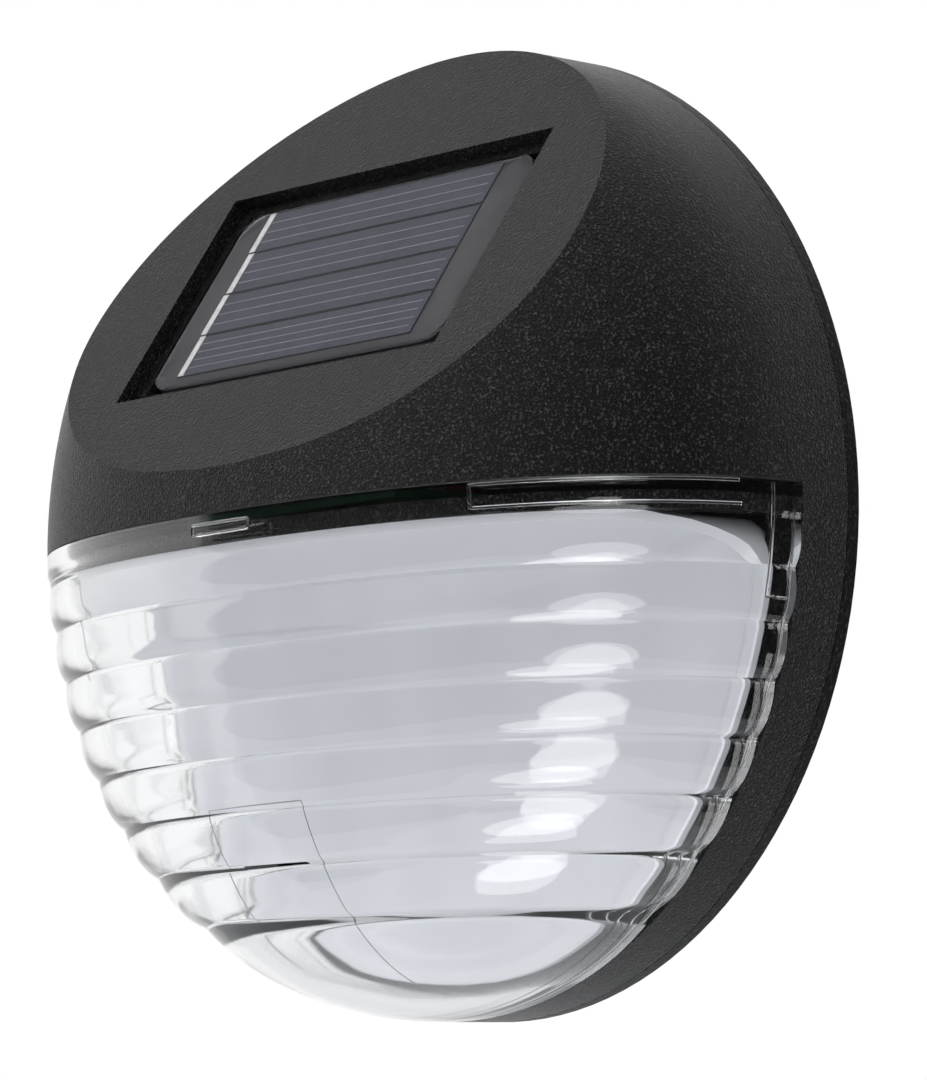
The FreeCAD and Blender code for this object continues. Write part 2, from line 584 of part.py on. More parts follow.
for side, name in ((-1, "left"), (1, "right")):
    case = block(f"led_case_{name}", f"{side} * led_place", "lamp_mid - led_size / 2", "lamp_under - led_high",
                 "led_size", "led_size", "led_high")
    piece(f"led_{name}", case)
piece("control_chip", block("chip_case", "0", "lamp_mid + 1", "lamp_top", "chip_wide", "chip_deep", "chip_high"))
piece("inductor", post("coil_drum", "8", "lamp_mid + 4", "lamp_top", "coil_radius", "coil_high"))
piece("capacitor", post("can", "-8", "lamp_mid + 4", "lamp_top", "can_radius", "can_high"))
board_screws = []
for side in (-1, 1):
    head = post(f"board_head_{side}", f"{side} * lamp_screw_place", "lamp_mid", "lamp_top", "small_head",
                "small_head_high")
    shank = post(f"board_shank_{side}", f"{side} * lamp_screw_place", "lamp_mid", "lamp_top - small_long",
                 "small_shank", "small_long + 0.2")
    board_screws.append(fuse(f"board_screw_{side}", head, shank))
piece("board_screws", group("board_screws", *board_screws))

# ---- rear plate ---------------------------------------------------------

plate_body = new_body("rear_plate")
plate_disc = sketch_on(plate_body, "XZ_Plane", "plate_disc")
draw_circle(plate_disc, "0", "0", "body_radius")
pad(plate_body, plate_disc, "plate_thick")
spigot = sketch_on(plate_body, "XZ_Plane", "spigot", "plate_thick")
draw_circle(spigot, "0", "0", "bore_radius - fit_gap")
draw_circle(spigot, "0", "0", "bore_radius - fit_gap - spigot_wall")
pad(plate_body, spigot, "spigot_rise")
bay_outside = sketch_on(plate_body, "XZ_Plane", "bay_outside")
draw_box(bay_outside, "0", "bay_low - bay_wall", "bay_wide + 2 * bay_wall", "bay_high + 2 * bay_wall")
pad(plate_body, bay_outside, "bay_deep + bay_floor")
for side, name in ((-1, "left"), (1, "right")):
    keyhole_cup = sketch_on(plate_body, "XZ_Plane", f"keyhole_cup_{name}")
    draw_box(keyhole_cup, f"{side} * keyhole_place", "keyhole_height - keyhole_entry - fit_gap - keyhole_wall",
             "2 * (keyhole_entry + fit_gap + keyhole_wall)",
             "keyhole_rise + 2 * (keyhole_entry + fit_gap + keyhole_wall)")
    pad(plate_body, keyhole_cup, "plate_thick + keyhole_room + keyhole_wall")
screw_pads = sketch_on(plate_body, "XZ_Plane", "screw_pads")
for across in (-1, 1):
    for upward in (-1, 1):
        draw_circle(screw_pads, f"{across} * screw_x", f"{upward} * screw_z", "boss_radius - 0.5")
pad(plate_body, screw_pads, "pad_top")
switch_frame = sketch_on(plate_body, "XZ_Plane", "switch_frame", "plate_thick")
draw_box(switch_frame, "0", "switch_height - switch_high / 2 - 1.2", "switch_wide + 2.4", "switch_high + 2.4")
draw_box(switch_frame, "0", "switch_height - switch_high / 2 - seat_gap", "switch_wide + 2 * seat_gap",
         "switch_high + 2 * seat_gap")
pad(plate_body, switch_frame, "1.5")

bay_inside = sketch_on(plate_body, "XZ_Plane", "bay_inside")
draw_box(bay_inside, "0", "bay_low", "bay_wide", "bay_high")
pocket(plate_body, bay_inside, "bay_deep")
door_seat = sketch_on(plate_body, "XZ_Plane", "door_seat")
draw_box(door_seat, "0", "bay_low - door_lap", "bay_wide + 2 * door_lap", "bay_high + 2 * door_lap")
pocket(plate_body, door_seat, "door_thick + plate_gap")
lug_slots = sketch_on(plate_body, "XZ_Plane", "lug_slots")
for side in (-1, 1):
    draw_box(lug_slots, f"{side} * (bay_wide / 2 - contact_thick / 2)", "cell_height - lug_wide / 2 - seat_gap",
             "contact_thick + 2 * seat_gap", "lug_wide + 2 * seat_gap")
pocket(plate_body, lug_slots, "bay_deep + bay_floor + 1")
for side, name in ((-1, "left"), (1, "right")):
    entry = sketch_on(plate_body, "XZ_Plane", f"keyhole_entry_{name}")
    draw_circle(entry, f"{side} * keyhole_place", "keyhole_height", "keyhole_entry")
    pocket(plate_body, entry, "plate_thick")
    slot_end = sketch_on(plate_body, "XZ_Plane", f"keyhole_end_{name}")
    draw_circle(slot_end, f"{side} * keyhole_place", "keyhole_height + keyhole_rise", "keyhole_slot")
    pocket(plate_body, slot_end, "plate_thick")
    slot_way = sketch_on(plate_body, "XZ_Plane", f"keyhole_way_{name}")
    draw_box(slot_way, f"{side} * keyhole_place", "keyhole_height", "2 * keyhole_slot", "keyhole_rise")
    pocket(plate_body, slot_way, "plate_thick")
    head_room = sketch_on(plate_body, "XZ_Plane", f"keyhole_room_{name}", "plate_thick")
    draw_box(head_room, f"{side} * keyhole_place", "keyhole_height - keyhole_entry - fit_gap",
             "2 * (keyhole_entry + fit_gap)", "keyhole_rise + 2 * (keyhole_entry + fit_gap)")
    pocket(plate_body, head_room, "keyhole_room")
head_wells = sketch_on(plate_body, "XZ_Plane", "head_wells")
shank_holes = sketch_on(plate_body, "XZ_Plane", "shank_holes")
for across in (-1, 1):
    for upward in (-1, 1):
        place = (f"{across} * screw_x", f"{upward} * screw_z")
        draw_circle(head_wells, *place, "screw_head + 0.2")
        draw_circle(shank_holes, *place, "screw_shank + 0.2")
pocket(plate_body, head_wells, "shank_start")
pocket(plate_body, shank_holes, "pad_top + 1")
knob_slot = sketch_on(plate_body, "XZ_Plane", "knob_slot")
draw_box(knob_slot, "0", "switch_height - knob_high / 2 - slot_room", "knob_wide + knob_travel + 2 * slot_room",
         "knob_high + 2 * slot_room")
pocket(plate_body, knob_slot, "plate_thick + 1")
seal_groove = sketch_on(plate_body, "XZ_Plane", "seal_groove", "plate_thick - seal_high")
draw_circle(seal_groove, "0", "0", "seal_inner + seal_wide + seat_gap")
draw_circle(seal_groove, "0", "0", "seal_inner - seat_gap")
pocket(plate_body, seal_groove, "seal_high")
piece("rear_plate", plate_body)

piece("seal_ring", ring("seal_ring", "plate_thick - seal_high", "seal_inner", "seal_inner + seal_wide",
                        "seal_high + plate_gap"))

rear_screws = []
for across in (-1, 1):
    for upward in (-1, 1):
        place = (f"{across} * screw_x", f"{upward} * screw_z")
        head = rod(f"head_{across}_{upward}", place[0], "screw_sink", place[1], "screw_head", "screw_head_high")
        shank = rod(f"shank_{across}_{upward}", place[0], "shank_start - 0.2", place[1], "screw_shank",
                    "screw_long + 0.2")
        cross = [block(f"cross_{across}_{upward}_{turn}", place[0], "screw_sink - 1", f"{place[1]} - ({high}) / 2",
                       wide, "1.7", high) for turn, (wide, high) in enumerate((("3.2", "0.7"), ("0.7", "3.2")))]
        rear_screws.append(cut(f"rear_screw_{across}_{upward}", fuse(f"screw_blank_{across}_{upward}", head, shank),
                               *cross))
piece("rear_screws", group("rear_screws", *rear_screws))

# ---- battery door, cell and contacts ------------------------------------

door_body = new_body("battery_door")
door_plate = sketch_on(door_body, "XZ_Plane", "door_plate")
draw_box(door_plate, "0", "bay_low - door_lap + door_gap", "door_wide", "door_high")
pad(door_body, door_plate, "door_thick")
thumb = sketch_on(door_body, "XZ_Plane", "thumb")
draw_circle(thumb, "0", "bay_low + bay_high - thumb_radius", "thumb_radius")
pocket(door_body, thumb, "thumb_sink")
piece("battery_door", door_body)

can_body = bar("cell_can", "-cell_long / 2", "cell_depth", "cell_height", "cell_radius",
               "cell_long - button_high")
button = bar("cell_button", "cell_long / 2 - button_high - 0.2", "cell_depth", "cell_height",
             "button_radius", "button_high + 0.2")
piece("battery", fuse("battery", can_body, button))


def contact(name, side):
    """A flat contact against the bay's end wall, with a lug that reaches the inside."""
    mid = f"{side} * (bay_wide / 2 - contact_thick / 2)"
    plate = block(f"{name}_plate", mid, "cell_depth - contact_size / 2", "cell_height - contact_size / 2",
                  "contact_thick", "contact_size", "contact_size")
    lug = block(f"{name}_lug", mid, "cell_depth", "cell_height - lug_wide / 2", "contact_thick",
                "bay_deep + bay_floor + lug_reach - cell_depth", "lug_wide")
    return [plate, lug]


spring_end = "-bay_wide / 2 + contact_thick"
spring = doc.addObject("Part::Cone", "spring_cone")
spring.Placement = Placement(Vector(), Rotation(Vector(0, 1, 0), 90))
bind(spring, Radius1="spring_radius", Radius2="spring_radius / 2",
     Height="bay_wide / 2 - contact_thick - cell_long / 2 - fit_gap",
     Placement__Base__x=spring_end, Placement__Base__y="-cell_depth", Placement__Base__z="cell_height")
piece("spring_contact", fuse("spring_contact", *contact("minus", -1), spring))
dimple = bar("dimple", "cell_long / 2 + fit_gap", "cell_depth", "cell_height", "button_radius",
             "bay_wide / 2 - contact_thick - cell_long / 2 - fit_gap")
piece("plate_contact", fuse("plate_contact", *contact("plus", 1), dimple))

# ---- slide switch -------------------------------------------------------

case_whole = block("case_whole", "0", "plate_thick", "switch_height - switch_high / 2", "switch_wide",
                   "switch_deep", "switch_high")
case_room = block("case_room", "0", "plate_thick + 0.8", "switch_height - knob_high / 2 - slot_room",
                  "knob_wide + 2 + knob_travel + 2 * slot_room", "knob_foot + 2 * slot_room",
                  "knob_high + 2 * slot_room")
case_slot = block("case_slot", "0", "0", "switch_height - knob_high / 2 - slot_room",
                  "knob_wide + knob_travel + 2 * slot_room", "plate_thick + 2", "knob_high + 2 * slot_room")
piece("switch_case", cut("switch_case", case_whole, case_room, case_slot))
knob_start = "-knob_travel / 2"
knob_stem = block("knob_stem", knob_start, "knob_sink", "switch_height - knob_high / 2", "knob_wide",
                  "plate_thick + 0.8 + slot_room + knob_foot - knob_sink", "knob_high")
knob_base = block("knob_base", knob_start, "plate_thick + 0.8 + slot_room",
                  "switch_height - knob_high / 2", "knob_wide + 2", "knob_foot", "knob_high")
piece("switch_knob", fuse("switch_knob", knob_stem, knob_base))

# ---- wires --------------------------------------------------------------


def spot(name, x, depth, z):
    """A point of a wire's route."""
    return bind(doc.addObject("Part::Vertex", name), X=x, Y=f"-({depth})", Z=z)


def facet_spot(name, x, up, out):
    """A point of a wire's route, placed from the facet."""
    return spot(name, x, f"facet_depth - ({up}) * sin(facet_tilt) + ({out}) * cos(facet_tilt)",
                f"({up}) * cos(facet_tilt) + ({out}) * sin(facet_tilt) + facet_height")


def wire(label, spots):
    """A round wire along straight runs that tangent arcs join."""
    doc.recompute()
    points = [Vector(item.X.Value, item.Y.Value, item.Z.Value) for item in spots]
    edges = []
    start = points[0]
    radii = []
    for before, corner, after in zip(points, points[1:], points[2:]):
        back = (before - corner)
        on = (after - corner)
        half = (math.pi - back.getAngle(on)) / 2
        reach = 0.45 * min(back.Length, on.Length)
        radii.append(reach / math.tan(half))
        into = corner + back.normalize() * reach
        out = corner + on.normalize() * reach
        middle = (back + on).normalize()
        inner = corner + middle * (radii[-1] / math.cos(half) - radii[-1])
        edges += [Part.makeLine(start, into), Part.Arc(into, inner, out).toShape()]
        start = out
    edges.append(Part.makeLine(start, points[-1]))
    section = Part.Wire(Part.makeCircle(size["wire_radius"], points[0], points[1] - points[0]))
    solid = doc.addObject("Part::Feature", label)
    solid.Shape = Part.Wire(edges).makePipeShell([section], True, True)
    length = sum(edge.Length for edge in edges)
    share = solid.Shape.Volume / (math.pi * size["wire_radius"] ** 2 * length)
    print(f"{label}: {length:.1f} mm, arcs {', '.join(f'{radius:.1f}' for radius in radii)}, volume {share:.3f}")
    piece(label, solid)


for side, colour in ((-1, "black"), (1, "red")):
    x = f"{side} * panel_wire_place"
    wire(f"panel_wire_{colour}", [
        facet_spot(f"panel_{colour}_start", x, "panel_wire_up", "-panel_back"),
        facet_spot(f"panel_{colour}_out", x, "panel_wire_up", "-panel_back - 7"),
        spot(f"panel_{colour}_turn", x, "lamp_mid - 3", "lamp_top + 7"),
        spot(f"panel_{colour}_end", x, "lamp_mid - 3", "lamp_top")])
    mid = f"{side} * (bay_wide / 2 - contact_thick / 2)"
    lug_end = "bay_deep + bay_floor + lug_reach"
    wire(f"battery_wire_{colour}", [
        spot(f"battery_{colour}_start", mid, lug_end, "cell_height"),
        spot(f"battery_{colour}_out", mid, f"{lug_end} + 3.5", "cell_height"),
        spot(f"battery_{colour}_turn", f"{side} * battery_wire_place", "lamp_mid - 4", "lamp_top + 6"),
        spot(f"battery_{colour}_end", f"{side} * battery_wire_place", "lamp_mid - 4", "lamp_top")])
    x = f"{side} * switch_wire_place"
    case_mid = "plate_thick + switch_deep / 2 + 0.8"
    wire(f"switch_wire_{colour}", [
        spot(f"switch_{colour}_start", x, case_mid, "switch_height + switch_high / 2"),
        spot(f"switch_{colour}_up", x, case_mid, "-shelf_low - 3"),
        spot(f"switch_{colour}_over", x, "cover_edge + 3.5", "lamp_top + 3"),
        spot(f"switch_{colour}_along", x, "lamp_board_near + 2", "lamp_top + 4"),
        spot(f"switch_{colour}_end", x, "lamp_board_near + 2", "lamp_top")])

# ---- check and write ----------------------------------------------------

doc.recompute()
faults = [f"{obj.Label}: {obj.State}" for obj in doc.Objects if {"Invalid", "Error"} & set(obj.State)]
for label, obj in pieces.items():
    if obj.Shape.isNull() or not obj.Shape.isValid() or not obj.Shape.Solids:
        faults.append(f"{label}: no valid shape")
if faults:
    raise RuntimeError("; ".join(faults))

os.makedirs("parts", exist_ok=True)
for label, obj in pieces.items():
    obj.Shape.exportStep(f"parts/{label}.step")
    print(f"{label}: {len(obj.Shape.Solids)} solids, {obj.Shape.Volume:.0f} mm3")
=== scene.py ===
import math

import bmesh
import bpy
from mathutils import Matrix, Vector


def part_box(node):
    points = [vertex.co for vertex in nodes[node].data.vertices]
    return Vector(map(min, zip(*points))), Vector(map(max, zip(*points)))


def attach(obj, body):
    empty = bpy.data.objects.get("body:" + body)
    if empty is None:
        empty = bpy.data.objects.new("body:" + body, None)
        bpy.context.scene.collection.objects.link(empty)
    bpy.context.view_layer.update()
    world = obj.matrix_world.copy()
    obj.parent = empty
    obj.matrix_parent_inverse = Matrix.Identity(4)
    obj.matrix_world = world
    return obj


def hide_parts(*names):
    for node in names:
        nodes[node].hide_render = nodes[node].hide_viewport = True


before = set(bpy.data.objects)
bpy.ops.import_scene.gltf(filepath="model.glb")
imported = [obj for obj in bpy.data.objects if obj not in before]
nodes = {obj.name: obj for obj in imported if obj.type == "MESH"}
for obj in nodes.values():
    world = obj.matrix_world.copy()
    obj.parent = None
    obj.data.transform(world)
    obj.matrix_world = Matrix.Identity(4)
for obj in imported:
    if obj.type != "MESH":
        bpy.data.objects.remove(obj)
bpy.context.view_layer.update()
mm = 0.001
print("frame loaded:", len(nodes), "nodes")

# The housing's round form. Radius and depth come from the frame, the rest repeats the part's sizes.
coverLow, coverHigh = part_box("front_cover")
dome = {
    "radius": coverHigh.x / mm,
    "depth": -coverLow.y / mm,
    "sideDepth": 8.9,
    "power": 2.35,
}


def domeDepth(reach, inset=0.0):
    # depth of the dome at a distance from its middle, in mm
    rise = dome["depth"] - dome["sideDepth"] - inset
    share = min(reach / (dome["radius"] - inset), 1.0)
    return dome["sideDepth"] + rise * max(1 - share ** dome["power"], 0.0) ** (1 / dome["power"])


def domeNormal(point):
    # outward direction of the dome at a point of its surface
    x, y, z = point
    reach = max(math.hypot(x, z), 1e-6)
    height = max(-y - dome["sideDepth"], 0.0)
    rise = dome["depth"] - dome["sideDepth"]
    across = (reach / dome["radius"]) ** (dome["power"] - 1) / dome["radius"]
    front = (height / rise) ** (dome["power"] - 1) / rise
    return Vector((across * x / reach, -front, across * z / reach)).normalized()


view = {
    "azimuth": 47.357, "elevation": -6.912, "roll": -0.89,    # degrees
    "distance": 557.1, "target": (14.372, -20.0, -2.963),     # mm
    "lens": 162.66, "sensor": 36,                              # mm on the photo's long side
    "clipStart": 0.01,                                         # m
}


def makeCamera():
    turn, lift, roll = (math.radians(view[name]) for name in ("azimuth", "elevation", "roll"))
    back = Vector((math.sin(turn) * math.cos(lift), -math.cos(turn) * math.cos(lift), math.sin(lift)))
    right = Vector((math.cos(turn), math.sin(turn), 0))
    up = back.cross(right)
    rolledRight = right * math.cos(roll) + up * math.sin(roll)
    rolledUp = up * math.cos(roll) - right * math.sin(roll)
    data = bpy.data.cameras.new("camera")
    data.sensor_fit = "AUTO"
    data.sensor_width = view["sensor"]
    data.lens = view["lens"]
    data.clip_start = view["clipStart"]
    camera = bpy.data.objects.new("camera", data)
    bpy.context.scene.collection.objects.link(camera)
    place = (Vector(view["target"]) + back * view["distance"]) * mm
    turned = Matrix((rolledRight, rolledUp, back)).transposed().to_4x4()
    camera.matrix_world = Matrix.Translation(place) @ turned
    bpy.context.scene.camera = camera


makeCamera()
bpy.context.scene.view_settings.view_transform = "Standard"
print("camera set")


def newMaterial(name, colour, roughness, **sockets):
    # a node material, its shader and its tree
    made = bpy.data.materials.new(name)
    made.use_nodes = True
    shader = made.node_tree.nodes["Principled BSDF"]
    shader.inputs["Base Color"].default_value = (*colour, 1)
    shader.inputs["Roughness"].default_value = roughness
    for socket, value in sockets.items():
        shader.inputs[socket.replace("_", " ")].default_value = value
    return made, shader, made.node_tree


def objectNoise(tree, grain, detail=2.0, roughness=0.5):
    # noise whose grain is given in mm, on the piece's own coordinates
    place = tree.nodes.new("ShaderNodeTexCoord")
    noise = tree.nodes.new("ShaderNodeTexNoise")
    noise.inputs["Scale"].default_value = 1 / (grain * mm)
    noise.inputs["Detail"].default_value = detail
    noise.inputs["Roughness"].default_value = roughness
    tree.links.new(place.outputs["Object"], noise.inputs["Vector"])
    return noise


def addBump(tree, shader, height, depth, strength=1.0):
    bump = tree.nodes.new("ShaderNodeBump")
    bump.inputs["Strength"].default_value = strength
    bump.inputs["Distance"].default_value = depth * mm
    tree.links.new(height, bump.inputs["Height"])
    tree.links.new(bump.outputs["Normal"], shader.inputs["Normal"])


def addTint(tree, shader, factor, dark, light, low=0.35, high=0.65):
    ramp = tree.nodes.new("ShaderNodeValToRGB")
    ramp.color_ramp.elements[0].position = low
    ramp.color_ramp.elements[0].color = (*dark, 1)
    ramp.color_ramp.elements[1].position = high
    ramp.color_ramp.elements[1].color = (*light, 1)
    tree.links.new(factor, ramp.inputs["Fac"])
    tree.links.new(ramp.outputs["Color"], shader.inputs["Base Color"])


def addMesh(name, points, faces, surface, replaced=(), body="housing", smooth=True):
    # a piece from points in mm
    mesh = bpy.data.meshes.new(name)
    mesh.from_pydata([Vector(point) * mm for point in points], [], faces)
    mesh.polygons.foreach_set("use_smooth", [smooth] * len(mesh.polygons))
    mesh.materials.append(surface)
    made = bpy.data.objects.new(name, mesh)
    bpy.context.scene.collection.objects.link(made)
    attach(made, body)
    if replaced:
        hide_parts(*replaced)
    return made


def runTree(piece, tree, **values):
    # evaluate a node tree on a piece and keep the result as its plain mesh
    modifier = piece.modifiers.new(tree.name, "NODES")
    modifier.node_group = tree
    for item in tree.interface.items_tree:
        if item.in_out == "INPUT" and item.name in values:
            modifier[item.identifier] = values[item.name]
    bpy.context.view_layer.update()
    ready = piece.evaluated_get(bpy.context.evaluated_depsgraph_get())
    mesh = bpy.data.meshes.new_from_object(ready)
    piece.modifiers.remove(modifier)
    piece.data = mesh


def newTree(name, **sockets):
    # a geometry node tree with named inputs, a finish among them, with its input and output nodes
    tree = bpy.data.node_groups.new(name, "GeometryNodeTree")
    tree.interface.new_socket("Geometry", in_out="INPUT", socket_type="NodeSocketGeometry")
    for label, kind in sockets.items():
        tree.interface.new_socket(label, in_out="INPUT", socket_type=kind)
    tree.interface.new_socket("surface", in_out="INPUT", socket_type="NodeSocketMaterial")
    tree.interface.new_socket("Geometry", in_out="OUTPUT", socket_type="NodeSocketGeometry")
    return tree, tree.nodes.new("NodeGroupInput"), tree.nodes.new("NodeGroupOutput")


def closeTree(tree, geometry, given, result):
    # makes the instances real and gives them their finish
    real = tree.nodes.new("GeometryNodeRealizeInstances")
    tree.links.new(geometry, real.inputs[0])
    coat = tree.nodes.new("GeometryNodeSetMaterial")
    tree.links.new(real.outputs[0], coat.inputs["Geometry"])
    tree.links.new(given.outputs["surface"], coat.inputs["Material"])
    tree.links.new(coat.outputs[0], result.inputs[0])


def paint(surface, *names):
    for name in names:
        node = nodes[name]
        node.data.materials.clear()
        node.data.materials.append(surface)


# light: the tone of the grain's light specks, which are partly painted glints
blackGrain = {"grain": 0.3, "height": 0.5, "dark": 0.001, "light": 0.065, "roughness": 0.3, "shine": 0.13}
knobGrain = {"grain": 0.6, "height": 0.01, "dark": 0.012, "light": 0.02, "roughness": 0.4, "shine": 0.35}
rearGrain = {"grain": 0.5, "height": 0.12, "dark": 0.003, "light": 0.03, "roughness": 0.45, "shine": 0.14}


# the light specks in the grain: partly the grain's own tone, partly painted glints where its facets would
# catch the lamps
speckleAndGlint = {"low": 0.55, "high": 0.7, "detail": 2.0, "roughness": 0.6, "cool": 1.04}


def makeGrained(name, grain, height, dark, light, roughness, shine):
    # moulded plastic with a fine spark-eroded grain that glitters a little, its light specks partly painted
    # glints in the colour
    made, shader, tree = newMaterial(name, (dark, dark, dark), roughness, Specular_IOR_Level=shine)
    fine = objectNoise(tree, grain, speckleAndGlint["detail"], speckleAndGlint["roughness"])
    addBump(tree, shader, fine.outputs["Fac"], height)
    # light specks painted into the colour, partly the grain's tone and partly painted glints
    addTint(tree, shader, fine.outputs["Fac"], (dark, dark, dark), (light, light, light * speckleAndGlint["cool"]),
            speckleAndGlint["low"], speckleAndGlint["high"])
    return made


blackPlastic = makeGrained("blackPlastic", **blackGrain)
rearPlastic = makeGrained("rearPlastic", **rearGrain)
knobPlastic = makeGrained("knobPlastic", **knobGrain)


ripple = {"grain": 14.0, "depth": 0.12, "strength": 0.35}    # faint waves, grain and depth in mm


def makeClear(name, colour, roughness, ior):
    made, shader, tree = newMaterial(name, colour, roughness, Transmission_Weight=1.0, IOR=ior)
    wave = objectNoise(tree, ripple["grain"])
    addBump(tree, shader, wave.outputs["Fac"], ripple["depth"], ripple["strength"])
    return made


clearPlastic = makeClear("clearPlastic", (0.985, 0.99, 0.995), 0.045, 1.49)
clearResin = makeClear("clearResin", (0.74, 0.75, 0.82), 0.06, 1.13)


white = {
    "colour": (0.7, 0.71, 0.735), "dark": (0.67, 0.68, 0.705), "light": (0.73, 0.74, 0.765),
    "roughness": 0.32, "grain": 18.0, "depth": 0.1, "strength": 0.3,
}


def makeWhite():
    made, shader, tree = newMaterial("whitePlastic", white["colour"], white["roughness"])
    cloud = objectNoise(tree, white["grain"])
    addTint(tree, shader, cloud.outputs["Fac"], white["dark"], white["light"])
    addBump(tree, shader, cloud.outputs["Fac"], white["depth"], white["strength"])
    return made


whitePlastic = makeWhite()

bluish = {
    "colour": (0.028, 0.031, 0.045), "dark": (0.024, 0.027, 0.040), "light": (0.034, 0.037, 0.052),
    "roughness": 0.35, "shine": 0.1, "grain": 6.0, "detail": 3.0,
}


def makeSilicon():
    made, shader, tree = newMaterial("silicon", bluish["colour"], bluish["roughness"],
                                     Specular_IOR_Level=bluish["shine"])
    cloud = objectNoise(tree, bluish["grain"], bluish["detail"])
    addTint(tree, shader, cloud.outputs["Fac"], bluish["dark"], bluish["light"])
    return made


mottle = {"dark": 0.88, "light": 1.1, "detail": 3.0, "strength": 0.5}    # shares of a plain finish's colour


def makePlain(name, colour, roughness, grain=2.0, height=0.01, **sockets):
    # a finish with slight mottling and a faint uneven surface
    made, shader, tree = newMaterial(name, colour, roughness, **sockets)
    cloud = objectNoise(tree, grain, mottle["detail"])
    addTint(tree, shader, cloud.outputs["Fac"], [part * mottle["dark"] for part in colour],
            [min(part * mottle["light"], 1) for part in colour])
    addBump(tree, shader, cloud.outputs["Fac"], height, mottle["strength"])
    return made


silicon = makeSilicon()
busMetal = makePlain("busMetal", (0.72, 0.70, 0.64), 0.35, 1.5, 0.02, Metallic=0.4)
panelBlack = makePlain("panelBlack", (0.035, 0.034, 0.033), 0.45)
foam = makePlain("foam", (0.03, 0.03, 0.03), 0.9, 0.6, 0.06)
boardGreen = makePlain("boardGreen", (0.02, 0.11, 0.05), 0.4)
ledWhite = makePlain("ledWhite", (0.8, 0.75, 0.45), 0.3)
chipBlack = makePlain("chipBlack", (0.02, 0.02, 0.02), 0.5)
ferrite = makePlain("ferrite", (0.06, 0.05, 0.045), 0.6)
canMetal = makePlain("canMetal", (0.3, 0.31, 0.33), 0.35, Metallic=0.6)
screwSteel = makePlain("screwSteel", (0.5, 0.5, 0.51), 0.32, 0.8, 0.01, Metallic=1.0)
sealRubber = makePlain("sealRubber", (0.35, 0.35, 0.35), 0.7)
cellSleeve = makePlain("cellSleeve", (0.03, 0.2, 0.11), 0.3)
contactMetal = makePlain("contactMetal", (0.62, 0.6, 0.56), 0.25, Metallic=1.0)
switchMetal = makePlain("switchMetal", (0.45, 0.45, 0.46), 0.35, Metallic=1.0)
wireBlack = makePlain("wireBlack", (0.015, 0.015, 0.015), 0.45)
lineMetal = makePlain("lineMetal", (0.3, 0.31, 0.34), 0.4, 1.5, 0.01)
seamGrey = makePlain("seamGrey", (0.2, 0.2, 0.21), 0.4)
wireRed = makePlain("wireRed", (0.5, 0.02, 0.015), 0.45)

paint(rearPlastic, "rear_plate", "battery_door")
paint(knobPlastic, "switch_knob")
paint(panelBlack, "panel_board")
paint(clearResin, "panel_resin")
paint(silicon, "solar_cell_strips")
paint(foam, "panel_tape")
paint(boardGreen, "circuit_board")
paint(ledWhite, "led_left", "led_right")
paint(chipBlack, "control_chip")
paint(ferrite, "inductor")
paint(canMetal, "capacitor")
paint(screwSteel, "board_screws", "rear_screws")
paint(sealRubber, "seal_ring")
paint(cellSleeve, "battery")
paint(contactMetal, "spring_contact", "plate_contact")
paint(switchMetal, "switch_case")
paint(wireBlack, "panel_wire_black", "battery_wire_black", "switch_wire_black")
paint(wireRed, "panel_wire_red", "battery_wire_red", "switch_wire_red")
print("materials made")

facetTilt = math.radians(35.3)    # between the facet and the vertical
panelFrame = {
    "middle": Vector((0, -27.2, 29.74)),                                   # mm, on the facet
    "up": Vector((0, math.sin(facetTilt), math.cos(facetTilt))),
    "out": Vector((0, -math.cos(facetTilt), math.sin(facetTilt))),
}
cover = {"weld": 0.002, "crease": 28.0, "flat": 0.99995}    # mm, degrees, cosine


def makeCover():
    # a welded copy of the cover, smooth on its dome and sharp where a flat face ends
    mesh = bpy.data.meshes.new("blackCover")
    work = bmesh.new()
    work.from_mesh(nodes["front_cover"].data)
    bmesh.ops.remove_doubles(work, verts=work.verts, dist=cover["weld"] * mm)
    for face in work.faces:
        face.smooth = True
    facetOut = panelFrame["out"]
    for edge in work.edges:
        sides = [face.normal.dot(facetOut) > cover["flat"] for face in edge.link_faces]
        edge.smooth = len(sides) == 2 and sides[0] == sides[1] \
            and edge.calc_face_angle(0.0) < math.radians(cover["crease"])
    work.to_mesh(mesh)
    work.free()
    if "custom_normal" in mesh.attributes:
        mesh.attributes.remove(mesh.attributes["custom_normal"])
    mesh.materials.clear()
    mesh.materials.append(blackPlastic)
    piece = bpy.data.objects.new("blackCover", mesh)
    bpy.context.scene.collection.objects.link(piece)
    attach(piece, "housing")
    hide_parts("front_cover")
    return piece


coverPiece = makeCover()
print("cover made:", len(coverPiece.data.polygons), "faces")

cells = {
    "face": -1.7, "low": -12.05, "pitch": 6.6, "gap": 0.15,                 # mm, along the facet's frame
    "left": -20.4, "right": 18.9, "lines": (4, 3, 3, 3), "line": 0.13, "thick": 0.03,
    "bar": -20.85, "barWide": 1.0, "barThick": 0.12, "barSteps": (0.12, -0.08, 0.1, -0.12),
}


def onFacet(x, up, out):
    return panelFrame["middle"] + Vector((x, 0, 0)) + panelFrame["up"] * up + panelFrame["out"] * out


